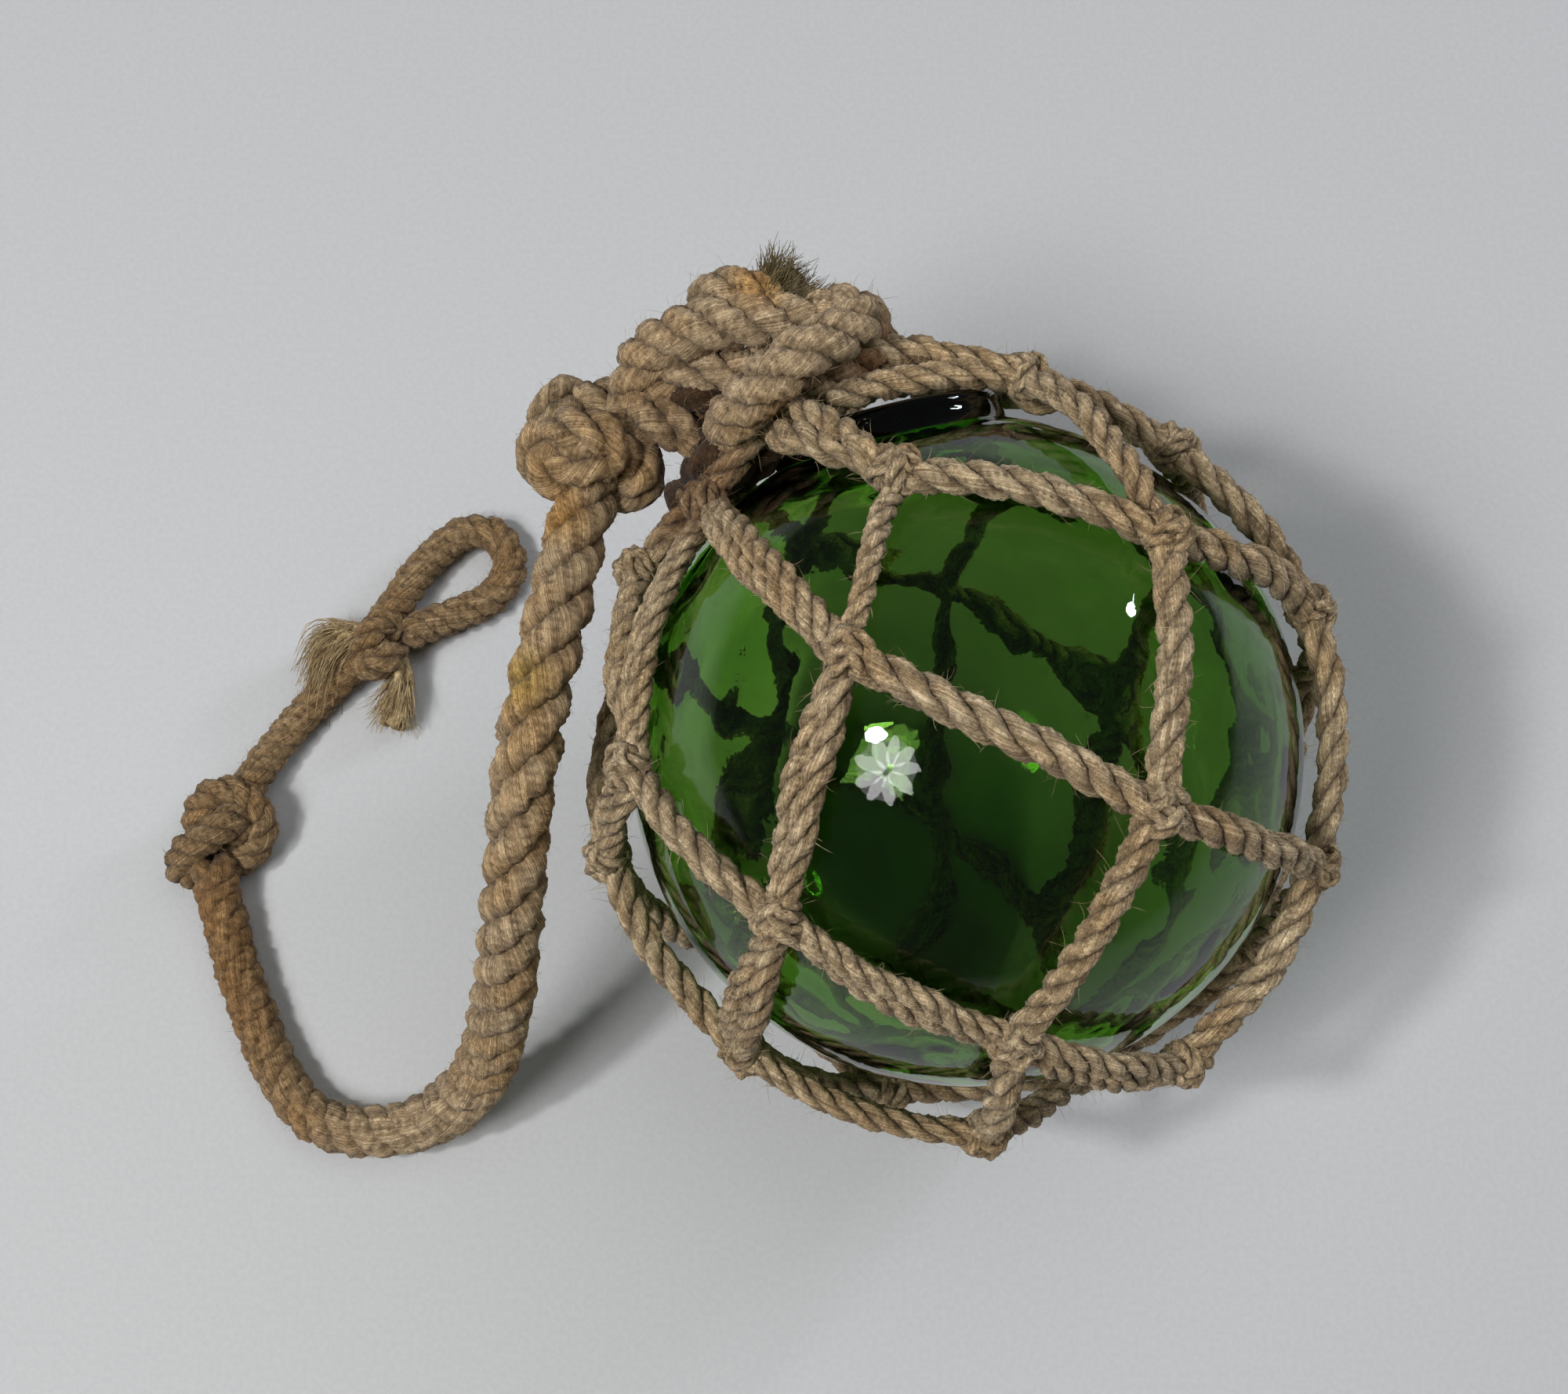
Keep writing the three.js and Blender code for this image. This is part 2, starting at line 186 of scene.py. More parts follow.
# Jute made very dark as painted shade, for the core and the neck ropes in the head knot's shadow.
SHADED_NECK_JUTE = jute("neck_jute", (0.030, 0.016, 0.008), (0.065, 0.037, 0.019), (0.13, 0.077, 0.040),
                 (0.9, 0.72, 0.6), (0.2, 0.14, 0.1))
PALE_FIBRE = jute("pale_fibre", (0.34, 0.25, 0.125), (0.60, 0.46, 0.25), (0.86, 0.72, 0.46),
                  (1.0, 0.92, 0.78), (0.5, 0.42, 0.32))
OLIVE_FIBRE = jute("olive_fibre", (0.06, 0.048, 0.02), (0.17, 0.135, 0.062), (0.36, 0.29, 0.15),
                   (1.0, 0.92, 0.78), (0.4, 0.34, 0.24))


def green_glass():
    """Clear green glass, coloured by what its thickness absorbs. Lamps shine through its shadow."""
    material, nodes, links = new_material("green_glass")
    glass = add_node(
        nodes, "ShaderNodeBsdfPrincipled",
        **{"Base Color": (1, 1, 1, 1), "Roughness": 0.0, "IOR": 1.5, "Transmission Weight": 1.0,
           "Specular IOR Level": 0.38})
    clear = add_node(nodes, "ShaderNodeBsdfTransparent", Color=(0.36, 0.33, 0.36, 1))
    mix = nodes.new("ShaderNodeMixShader")
    place = nodes.new("ShaderNodeTexCoord").outputs["Object"]
    seeds = noise(nodes, links, place, (330, 330, 330), detail=2.0)
    bump = add_node(nodes, "ShaderNodeBump", Strength=0.12, Distance=0.0001)
    links.new(seeds, bump.inputs["Height"])
    links.new(bump.outputs["Normal"], glass.inputs["Normal"])
    links.new(nodes.new("ShaderNodeLightPath").outputs["Is Shadow Ray"], mix.inputs["Fac"])
    links.new(glass.outputs["BSDF"], mix.inputs[1])
    links.new(clear.outputs["BSDF"], mix.inputs[2])
    absorb = add_node(nodes, "ShaderNodeVolumeAbsorption", Color=(0.415, 0.713, 0.0, 1), Density=410.0)
    output = nodes.new("ShaderNodeOutputMaterial")
    links.new(mix.outputs["Shader"], output.inputs["Surface"])
    links.new(absorb.outputs["Volume"], output.inputs["Volume"])
    return material


# ---- meshes ----
TABLE_GAP = 0.1 * MM  # lowest that any piece lies over the table


class Bundle:
    """Surfaces gathered into one mesh. Each point carries its place along and round its fibre
    (fibre, metres) and how far out on the rope it lies (crest, 0 in the grooves to 1)."""

    def __init__(self):
        self.points, self.fibre, self.crest = [], [], []
        self.quads, self.triangles = [], []
        self.count = 0

    def add(self, points, quads, triangles, fibre, crest):
        self.points.append(points)
        self.fibre.append(fibre)
        self.crest.append(crest)
        self.quads.append(np.asarray(quads, int).reshape(-1, 4) + self.count)
        self.triangles.append(np.asarray(triangles, int).reshape(-1, 3) + self.count)
        self.count += len(points)

    def object(self, name, material):
        points = np.vstack(self.points)
        points[:, 2] = np.maximum(points[:, 2], TABLE_GAP)
        quads, triangles = np.vstack(self.quads), np.vstack(self.triangles)
        mesh = bpy.data.meshes.new(name)
        mesh.vertices.add(len(points))
        mesh.vertices.foreach_set("co", points.ravel())
        corners = np.concatenate([quads.ravel(), triangles.ravel()])
        sizes = np.concatenate([np.full(len(quads), 4), np.full(len(triangles), 3)])
        mesh.loops.add(len(corners))
        mesh.loops.foreach_set("vertex_index", corners)
        mesh.polygons.add(len(sizes))
        mesh.polygons.foreach_set("loop_start", np.concatenate([[0], np.cumsum(sizes)[:-1]]))
        mesh.polygons.foreach_set("loop_total", sizes)
        mesh.polygons.foreach_set("use_smooth", np.ones(len(sizes), bool))
        mesh.update(calc_edges=True)
        mesh.attributes.new("fibre", "FLOAT_VECTOR", "POINT").data.foreach_set(
            "vector", np.vstack(self.fibre).ravel())
        mesh.attributes.new("crest", "FLOAT", "POINT").data.foreach_set(
            "value", np.concatenate(self.crest))
        mesh.materials.append(material)
        piece = bpy.data.objects.new(name, mesh)
        bpy.context.scene.collection.objects.link(piece)
        return piece


# ---- paths ----
def unit(v):
    return v / np.maximum(np.linalg.norm(v, axis=-1, keepdims=True), 1e-12)


def smooth_route(points, step):
    """Even points along the centripetal Catmull-Rom curve through the points."""
    p = np.asarray(points, float)
    p = np.vstack([2 * p[0] - p[1], p, 2 * p[-1] - p[-2]])
    dense = []
    t = np.linspace(0, 1, 24, endpoint=False)[:, None]
    for a, b, c, d in zip(p, p[1:], p[2:], p[3:]):
        ga, gb, gc = (max(np.linalg.norm(v), 1e-9) ** 0.5 for v in (b - a, c - b, d - c))
        m = gb * ((b - a) / ga - (c - a) / (ga + gb) + (c - b) / gb)
        n = gb * ((c - b) / gb - (d - b) / (gb + gc) + (d - c) / gc)
        dense.append(b + m * t + (3 * (c - b) - 2 * m - n) * t**2 + (2 * (b - c) + m + n) * t**3)
    dense.append(p[-2:-1])
    dense = np.vstack(dense)
    along = arc(dense)
    count = max(int(round(along[-1] / step)), 3)
    even = np.linspace(0, along[-1], count + 1)
    return np.column_stack([np.interp(even, along, dense[:, k]) for k in range(3)])


def arc(path):
    return np.concatenate([[0], np.cumsum(np.linalg.norm(np.diff(path, axis=0), axis=1))])


def tangents(path):
    return unit(np.gradient(path, axis=0))


def carried(path):
    """A normal and a side for each point, carried along the path without twist."""
    t = tangents(path)
    first = np.cross(t[0], (0.3, 0.2, 0.93))
    normals = [first / np.linalg.norm(first)]
    for k in range(1, len(path)):
        n = normals[-1] - t[k] * (normals[-1] @ t[k])
        normals.append(n / np.linalg.norm(n))
    n = np.array(normals)
    return n, np.cross(t, n)


# ---- laid rope ----
def lumps(rng, turn, along, radius, ridges):
    """How far a strand's skin stands out, as a share of its radius: soft lumps, and ridges that
    run with the fibres."""
    height = np.zeros_like(turn + along)
    for waves, length, share in ((1, 5.5, 0.07), (2, 3.4, 0.05), (1, 2.1, 0.04)):
        push = 2 * math.pi / (length * radius * rng.uniform(0.8, 1.25))
        height += share * np.sin(waves * turn + push * along + rng.uniform(0, 2 * math.pi))
    for waves, share in ridges:
        push = 2 * math.pi / (9 * radius * rng.uniform(0.7, 1.4))
        height += share * np.sin(waves * turn + push * along + rng.uniform(0, 2 * math.pi))
    return height


def skin(bundle, rng, path, outward, high, wide, twist, sides, ridges=(), crest=(0.0, 1.0), yarns=(0, 0)):
    """The surface of one strand. outward points away from the rope's middle at each point, high
    and wide are the half sizes along it and across, and twist turns the fibres round the strand.
    yarns is how many the strand is spun from, and how deep the grooves between them are."""
    t = tangents(path)
    n = unit(outward - t * np.sum(outward * t, axis=1, keepdims=True))
    b = np.cross(t, n)
    along = arc(path)[:, None]
    angle = np.linspace(0, 2 * math.pi, sides, endpoint=False)[None, :]
    turn = angle + twist * along
    radius = float(np.mean(high))
    out = 1 + lumps(rng, turn, along, radius, ridges)
    bulge = np.abs(np.cos(0.5 * yarns[0] * turn + rng.uniform(0, math.pi))) if yarns[0] else 1 + 0 * turn
    out += yarns[1] * (bulge ** 0.7 - 0.7)
    high = np.broadcast_to(high, len(path))[:, None] * out
    wide = np.broadcast_to(wide, len(path))[:, None] * out
    points = (path[:, None] + n[:, None] * (high * np.cos(angle))[..., None]
              + b[:, None] * (wide * np.sin(angle))[..., None])
    rows, offset = len(path), rng.uniform(0, 50)
    fibre = np.stack([radius * np.cos(turn), radius * np.sin(turn), along + offset + 0 * turn], axis=-1)
    # crest is 1 on a strand's outer side and lower towards the grooves and between yarns; the jute materials
    # paint shade from it.
    tone = crest[0] + (crest[1] - crest[0]) * (0.5 + 0.5 * np.cos(angle)) + 0 * along
    tone = tone * (0.3 + 0.7 * bulge ** 0.6)
    row, side = np.meshgrid(np.arange(rows - 1), np.arange(sides), indexing="ij")
    following = (side + 1) % sides
    quads = np.stack([row * sides + side, row * sides + following,
                      (row + 1) * sides + following, (row + 1) * sides + side], axis=-1).reshape(-1, 4)
    ring = np.arange(sides)
    caps = []
    for base, centre, forward in ((0, rows * sides, False), ((rows - 1) * sides, rows * sides + 1, True)):
        a, c = base + ring, base + (ring + 1) % sides
        pair = (a, c) if forward else (c, a)
        caps.append(np.stack([pair[0], pair[1], np.full(sides, centre)], axis=-1))
    ends = np.vstack([path[0] - t[0] * 0.35 * radius, path[-1] + t[-1] * 0.35 * radius])
    bundle.add(
        np.vstack([points.reshape(-1, 3), ends]), quads, np.vstack(caps),
        np.vstack([fibre.reshape(-1, 3), [[0, 0, offset], [0, 0, offset + along[-1, 0]]]]),
        np.concatenate([tone.ravel(), [0.3, 0.3]]))


HAIR_RADIUS = 0.045 * MM  # at the root
SHORT_HAIR = 1.4 * MM  # hairs below this are straight spikes
CORD_HAIR = (0.6 * MM, 3.4 * MM)
HEAD_HAIR = (0.6 * MM, 5.5 * MM)
NECK_HAIR = (0.6 * MM, 4.0 * MM)
LEG_HAIR = (0.5 * MM, 6.0 * MM)
MESH_KNOT_HAIR = (0.5 * MM, 5.0 * MM)


def hairs(bundle, rng, roots, outward, along, length, keep_off=None):
    """Loose fibres: thin curved spikes that lean along the rope and stand off it. length is the
    shortest and the longest, and keep_off tells which points a hair may reach."""
    count = len(roots)
    if count == 0:
        return
    lean = along * rng.choice([-1, 1], (count, 1)) * rng.uniform(0.3, 1.0, (count, 1))
    lean = unit(outward * 0.6 * rng.uniform(0.4, 1.6, (count, 1)) + lean
                + 0.35 * rng.normal(size=(count, 3)))
    size = length[0] + (length[1] - length[0]) * rng.random((count, 1)) ** 3
    bend = unit(np.cross(lean, rng.normal(size=(count, 3))))
    curl = size * rng.uniform(-0.45, 0.45, (count, 1))
    lower = roots + lean * size * 0.36 + bend * curl * 0.10
    upper = roots + lean * size * 0.70 + bend * curl * 0.45
    tip = roots + lean * size * 0.96 + bend * curl
    if keep_off is not None:
        free = keep_off(lower) & keep_off(upper) & keep_off(tip)
        roots, lower, upper, tip, lean = (part[free] for part in (roots, lower, upper, tip, lean))
        bend, size = bend[free], size[free]
    across = np.cross(lean, bend)
    short = size[:, 0] < SHORT_HAIR
    straight = [(roots, HAIR_RADIUS)]
    curved = [(roots, HAIR_RADIUS), (lower, 0.9 * HAIR_RADIUS), (upper, 0.65 * HAIR_RADIUS)]
    spikes(bundle, rng, straight, tip, bend, across, size, short)
    spikes(bundle, rng, curved, tip, bend, across, size, ~short)


def spikes(bundle, rng, stations, tip, bend, across, size, chosen):
    """The chosen hairs, each a three-sided spike closed at its root, with a ring of three points
    at each station (middle, radius) and one point at the tip."""
    count = int(np.count_nonzero(chosen))
    if count == 0:
        return
    rings = []
    for centre, radius in stations:
        for k in range(3):
            a = 2 * math.pi * k / 3
            way = math.cos(a) * bend[chosen] + math.sin(a) * across[chosen]
            rings.append(centre[chosen] + radius * way)
    points = np.stack(rings + [tip[chosen]], axis=1)
    each = points.shape[1]
    last = each - 4
    quads, triangles = [], [[0, 2, 1]]
    for k in range(3):
        j = (k + 1) % 3
        for ring in range(0, last, 3):
            quads.append([ring + k, ring + j, ring + 3 + j, ring + 3 + k])
        triangles.append([last + k, last + j, each - 1])
    base = (np.arange(count) * each)[:, None, None]
    quads = (base + np.array(quads, int).reshape(-1, 4)[None]).reshape(-1, 4)
    triangles = (base + np.array(triangles)[None]).reshape(-1, 3)
    seeds = rng.uniform(0, 60, (count, 1, 3)) * np.array([0.0005, 0.0005, 1.0])
    share = np.append(np.repeat(np.linspace(0, 1, len(stations) + 1)[:-1], 3), 1)[None, :, None]
    fibre = seeds + share * np.array([0, 0, 1.0]) * size[chosen][:, :, None]
    tone = np.repeat(rng.uniform(0.75, 1.0, count), each)
    bundle.add(points.reshape(-1, 3), quads, triangles, fibre.reshape(-1, 3), tone)


STRANDS = 3


def rope(bundle, rng, points, radius, pitch, step, sides, fuzz, ridges=((5, 0.03),), hair=CORD_HAIR,
         keep_off=None, wander=0.03, yarns=(3, 0.24), spin=2.1):
    """Right-hand rope laid from three strands along the points. radius and pitch may change along
    it: each is a number or (share of the length, value) pairs. step is the length of a face and
    sides the faces round a strand. fuzz is hairs to the square millimetre, hair their shortest and
    longest, and keep_off is as for hairs. wander is how far the strands drift in and out, and spin
    is how much harder the yarns are twisted than what would set them along the rope."""
    path = smooth_route(points, step)
    along = arc(path)
    share = along / along[-1]

    def varied(value):
        if np.isscalar(value):
            return np.full(len(path), float(value))
        return np.interp(share, [p for p, _ in value], [v for _, v in value])

    size, lay = varied(radius), varied(pitch)
    n, b = carried(path)
    turn = 2 * math.pi * np.concatenate([[0], np.cumsum(np.diff(along) / lay[1:])])
    turn += rng.uniform(0, 2 * math.pi)
    turn += 0.25 * np.sin(along / (9 * size) + rng.uniform(0, 6.3))
    for k in range(STRANDS):
        angle = (turn + 2 * math.pi * k / STRANDS)[:, None]
        out = np.cos(angle) * n + np.sin(angle) * b
        drift = 1 + wander * np.sin(along / (2.3 * size) + rng.uniform(0, 6.3))
        lie, high, wide = 0.52 * size * drift, 0.50 * size, 0.53 * size
        strand = path + out * lie[:, None]
        slope = np.mean(2 * math.pi * lie / lay)
        twist = spin * slope / np.mean(high)
        skin(bundle, rng, strand, out, high, wide, twist, sides, ridges, yarns=yarns)
        area = 2 * math.pi * np.mean(size) * along[-1] / MM**2 / STRANDS
        count = rng.poisson(fuzz * area)
        pick = rng.integers(0, len(path), count)
        lift = rng.normal(0, 0.75, count)[:, None]
        t = tangents(path)
        side = np.cross(t, out)
        away = np.cos(lift) * out[pick] + np.sin(lift) * side[pick]
        roots = strand[pick] + away * (0.92 * high[pick])[:, None]
        roots += t[pick] * rng.uniform(-step, step, (count, 1))
        hairs(bundle, rng, roots, away, t[pick], hair, keep_off=keep_off)
    return path


# ---- cords: the lanyard, its tail and the eye, on the routes of their solids ----
ROPE_RADIUS = 0.0072
LANYARD_END_RADIUS = 0.0058
TAIL_RADIUS = 0.0047
SMALL_KNOT_RADIUS = 0.0044
EYE_KNOT_RADIUS = 0.0040
FRAY_RADIUS = 0.0042
TAIL_LAY = {"step": 0.8 * MM, "sides": 15, "yarns": (3, 0.16), "spin": 1.3}
LANYARD_ROUTE = [
    (-0.083, 0.06, 0.098), (-0.085, 0.052, 0.099), (-0.088, 0.038, 0.1), (-0.091, 0.023, 0.1),
    (-0.094, 0.009, 0.0985), (-0.0965, -0.0045, 0.0955), (-0.0985, -0.0175, 0.0905),
    (-0.1, -0.029, 0.083), (-0.102, -0.04, 0.072), (-0.1045, -0.05, 0.058),
    (-0.108, -0.059, 0.043), (-0.113, -0.067, 0.028), (-0.121, -0.0735, 0.016),
    (-0.131, -0.078, 0.0092), (-0.1415, -0.08, 0.0074), (-0.1515, -0.079, 0.0069),
    (-0.1605, -0.074, 0.0064), (-0.1675, -0.065, 0.006), (-0.173, -0.054, 0.0058),
    (-0.178, -0.042, 0.0058), (-0.182, -0.03, 0.0062), (-0.185, -0.02, 0.008),
    (-0.186, -0.0125, 0.0105),
]
TAIL_ROUTE = [
    (-0.1805, 0.005, 0.009), (-0.175, 0.0155, 0.0062), (-0.168, 0.0255, 0.0054),
    (-0.1605, 0.0345, 0.0056), (-0.154, 0.0405, 0.0072),
]
EYE_ROUTE = [
    (-0.145, 0.0535, 0.009), (-0.141, 0.061, 0.007), (-0.135, 0.0705, 0.0056),
    (-0.127, 0.0775, 0.0053), (-0.118, 0.0775, 0.0053), (-0.1135, 0.0695, 0.0053),
    (-0.1175, 0.0605, 0.0053), (-0.1265, 0.0555, 0.0055), (-0.1345, 0.052, 0.0066),
    (-0.1405, 0.0485, 0.0084),
]
# The knots' own rope, over, round and under itself. A scratch script printed these points and
# those of the head and the stopper, from places picked by hand (report.md says how).
SMALL_KNOT_ROUTE = [
    (-0.1862, -0.0161, 0.008), (-0.1846, -0.0121, 0.006), (-0.179, -0.0103, 0.006),
    (-0.1752, -0.0055, 0.008), (-0.1754, 0.0005, 0.0105), (-0.1798, 0.0046, 0.0125),
    (-0.1848, 0.005, 0.0135), (-0.1891, 0.0022, 0.0125), (-0.1907, -0.002, 0.009),
    (-0.1874, -0.0049, 0.007), (-0.1812, -0.0042, 0.0095), (-0.1805, -0.0018, 0.013),
    (-0.1838, -0.0047, 0.016), (-0.189, -0.0083, 0.015), (-0.1939, -0.0118, 0.011),
    (-0.1941, -0.0146, 0.0065), (-0.1895, -0.0115, 0.005), (-0.1848, -0.0033, 0.005),
    (-0.1822, 0.0017, 0.007), (-0.1805, 0.005, 0.009),
]
EYE_KNOT_ROUTE = [
    (-0.1559, 0.0386, 0.006), (-0.1518, 0.041, 0.009), (-0.1497, 0.0449, 0.0125),
    (-0.1473, 0.0494, 0.013), (-0.1442, 0.0512, 0.0105), (-0.144, 0.0489, 0.006),
    (-0.1477, 0.0445, 0.005), (-0.1513, 0.0429, 0.0075), (-0.1487, 0.0392, 0.0115), (-0.144, 0.04, 0.013),
    (-0.1427, 0.0439, 0.01),
]
BRUSHED_END = [
    (-0.1511, 0.0472, 0.0095), (-0.1577, 0.0477, 0.01), (-0.1645, 0.046, 0.0085),
]
SHORT_END = [
    (-0.146, 0.0437, 0.012), (-0.1428, 0.0419, 0.011), (-0.1409, 0.0385, 0.008),
    (-0.1412, 0.0319, 0.0055), (-0.1431, 0.0248, 0.005),
]


def brush(bundle, rng, points, start, end, count, radius, length, droop=(0, 0, 0)):
    """A frayed end: fibres that leave the rope together, spread and bend over towards droop. start
    and end are how wide the brush is, radius is a fibre's, and length is the shortest and longest."""
    path = smooth_route(points, 0.5 * MM)
    t = tangents(path)
    for _ in range(count):
        k = rng.integers(0, max(len(path) // 2, 1))
        n = unit(np.cross(t[k], rng.normal(size=3)))
        root = path[k] + n * start * rng.random() ** 0.5
        aim = unit(t[-1] + n * rng.uniform(0, 0.6) * end / start)
        size = rng.uniform(*length)
        curl = unit(np.cross(aim, rng.normal(size=3))) * rng.uniform(0.05, 0.30)
        curl = (curl + np.array(droop) * rng.uniform(0.6, 1.1)) * size
        line = np.array([root, root + aim * size * 0.35 + curl * 0.08,
                         root + aim * size * 0.7 + curl * 0.4, root + aim * size * 0.92 + curl])
        line = smooth_route(line, size / 4)
        width = radius * rng.uniform(0.6, 1.2) * np.linspace(1.0, 0.35, len(line))
        out = np.tile(unit(np.cross(aim, (0.1, 0.3, 0.9))), (len(line), 1))
        skin(bundle, rng, line, out, width, width, 0, 3, crest=(0.75, 1.0))


def cords():
    rng = np.random.default_rng(SEED)
    rope_bundle = Bundle()
    lanyard_path = rope(
        rope_bundle, rng, LANYARD_ROUTE,
        [(0, ROPE_RADIUS), (0.62, ROPE_RADIUS), (0.76, LANYARD_END_RADIUS), (1, LANYARD_END_RADIUS)],
        [(0, 0.036), (0.3, 0.033), (0.5, 0.026), (0.7, 0.018), (1, 0.0145)],
        step=0.9 * MM, sides=20, fuzz=0.36)
    lanyard = rope_bundle.object("lanyard", ROPE_JUTE)
    tail_bundle = Bundle()
    tail_path = rope(tail_bundle, rng, TAIL_ROUTE + EYE_ROUTE, TAIL_RADIUS, 0.0135, fuzz=0.45, **TAIL_LAY)
    tail = tail_bundle.object("tail_and_eye", TAIL_JUTE)
    small_bundle = Bundle()
    rope(small_bundle, rng, SMALL_KNOT_ROUTE, SMALL_KNOT_RADIUS, 0.014, fuzz=0.4, wander=0.06, **TAIL_LAY)
    small = small_bundle.object("small_knot_rope", TAIL_JUTE)
    knot_bundle = Bundle()
    rope(knot_bundle, rng, EYE_KNOT_ROUTE, EYE_KNOT_RADIUS, 0.013, fuzz=0.4, wander=0.06, **TAIL_LAY)
    knot = knot_bundle.object("eye_knot_rope", TAIL_JUTE)
    fray_bundle = Bundle()
    brush(fray_bundle, rng, BRUSHED_END, FRAY_RADIUS, 0.0052, 820, 0.17 * MM, (0.007, 0.014),
          droop=(0.1, -0.75, -0.1))
    rope(fray_bundle, rng, BRUSHED_END[:2], FRAY_RADIUS, 0.02, step=0.7 * MM, sides=10, fuzz=2.0)
    rope(fray_bundle, rng, SHORT_END, [(0, 0.0030), (0.6, 0.0031), (1, 0.0037)], 0.05, step=0.7 * MM,
         sides=12, fuzz=1.2, ridges=((4, 0.08), (7, 0.05)))
    brush(fray_bundle, rng, SHORT_END[2:], 0.0034, 0.0036, 260, 0.16 * MM, (0.008, 0.012))
    fray = fray_bundle.object("eye_knot_fray", PALE_FIBRE)
    for piece, nodes, slot in (
            (lanyard, ["lanyard_rope"], "rope_jute"), (tail, ["lanyard_tail", "eye_loop"], "tail_jute"),
            (small, ["small_knot"], "tail_jute"), (knot, ["eye_knot"], "tail_jute"),
            (fray, [], "tail_jute")):
        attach(piece, "root")
        if nodes:
            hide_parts(*nodes)


cords()


# ---- the ball ----
BALL_RADIUS = 0.075
BED = 0.0065
CENTRE = np.array([0, 0, BALL_RADIUS + BED])
WALL = 0.0035
SEAL_RADIUS = 0.0265
SEAL_RISE = 0.0025
SEAL_FILLET = 0.0022
SEAL_SAG = 0.0007
BALL_SIDES = 224
OUTER_RIPPLE = 0.08 * MM
INNER_RIPPLE = 0.30 * MM


def direction(heading, rise):
    h, r = math.radians(heading), math.radians(rise)
    return np.array([math.cos(r) * math.cos(h), math.cos(r) * math.sin(h), math.sin(r)])


NET_AXIS = direction(115, 31)
SEAL_AXIS = direction(104, 14.6)
NET_SIDE = unit(np.cross(NET_AXIS, (0, 0, 1)))
NET_FRONT = np.cross(NET_AXIS, NET_SIDE)


def ripple(rng, directions, height, count, fine, coarse):
    """Smooth random waves over the unit sphere, between coarse and fine radians of phase to a
    radius."""
    total = np.zeros(len(directions))
    for _ in range(count):
        wave = unit(rng.normal(size=3)) * rng.uniform(coarse, fine)
        total += np.sin(directions @ wave + rng.uniform(0, 2 * math.pi))
    return height * total / math.sqrt(count)


def turned(profile, sides, inward=False):
    """A surface of revolution about the button's axis, closed at both poles."""
    side = unit(np.cross(SEAL_AXIS, (0, 0, 1)))
    front = np.cross(SEAL_AXIS, side)
    angle = np.linspace(0, 2 * math.pi, sides, endpoint=False)
    rim = np.cos(angle)[:, None] * side + np.sin(angle)[:, None] * front
    inner = profile[1:-1]
    points = (inner[:, 0, None, None] * rim[None] + inner[:, 1, None, None] * SEAL_AXIS).reshape(-1, 3)
    rows = len(inner)
    points = np.vstack([points, SEAL_AXIS * profile[0, 1], SEAL_AXIS * profile[-1, 1]])
    row, k = np.meshgrid(np.arange(rows - 1), np.arange(sides), indexing="ij")
    j = (k + 1) % sides
    quads = np.stack([row * sides + k, row * sides + j, (row + 1) * sides + j,
                      (row + 1) * sides + k], axis=-1).reshape(-1, 4)
    ring = np.arange(sides)
    following = (ring + 1) % sides
    first = np.stack([following, ring, np.full(sides, rows * sides)], axis=-1)
    base = (rows - 1) * sides
    last = np.stack([base + ring, base + following, np.full(sides, rows * sides + 1)], axis=-1)
    triangles = np.vstack([first, last])
    if inward:
        quads, triangles = quads[:, ::-1], triangles[:, ::-1]
    return points, quads, triangles


def ball():
    """A blown shell: an outer and an inner skin, and a flat button of glass over the blow hole."""
    rng = np.random.default_rng(SEED + 1)
    neck = math.asin((SEAL_RADIUS + 0.0006) / BALL_RADIUS)
    angle = np.linspace(math.pi, neck, 112)
    shell = np.column_stack([BALL_RADIUS * np.sin(angle), BALL_RADIUS * np.cos(angle)])
    top = BALL_RADIUS + SEAL_RISE
    fillet = np.linspace(-0.35, math.pi / 2, 14)
    edge = np.column_stack([SEAL_RADIUS - SEAL_FILLET + SEAL_FILLET * np.cos(fillet),
                            top - SEAL_SAG - SEAL_FILLET + SEAL_FILLET * np.sin(fillet)])
    across = np.linspace(0.9, 0, 12)[1:]
    face = np.column_stack([SEAL_RADIUS * across, top - SEAL_SAG * across**2])
    outer = np.vstack([shell, edge, face])
    outer[0, 0] = outer[-1, 0] = 0
    inner_radius = BALL_RADIUS - WALL
    angle = np.linspace(math.pi, 0, 120)
    inner = np.column_stack([inner_radius * np.sin(angle), inner_radius * np.cos(angle)])
    inner[0, 0] = inner[-1, 0] = 0
    bundle = Bundle()
    for profile, inward, height in ((outer, False, OUTER_RIPPLE), (inner, True, INNER_RIPPLE)):
        points, quads, triangles = turned(profile, BALL_SIDES, inward)
        way = unit(points)
        waves = ripple(rng, way, height, 26, 24, 8) + ripple(rng, way, 0.18 * height, 30, 70, 35)
        points = points + way * waves[:, None]
        bundle.add(points + CENTRE, quads, triangles, np.zeros((len(points), 3)), np.zeros(len(points)))
    piece = bundle.object("glass_ball", green_glass())
    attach(piece, "root")
    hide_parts("glass_float")


ball()

# ---- the net ----
NET_RADIUS = BALL_RADIUS + 0.0055
HUG = BALL_RADIUS + 0.0006
PRESS_REACH = 0.024  # the net lies pressed under the ball this far round its foot
KNOT_REST = 0.0034  # lowest that the middle of a net knot lies
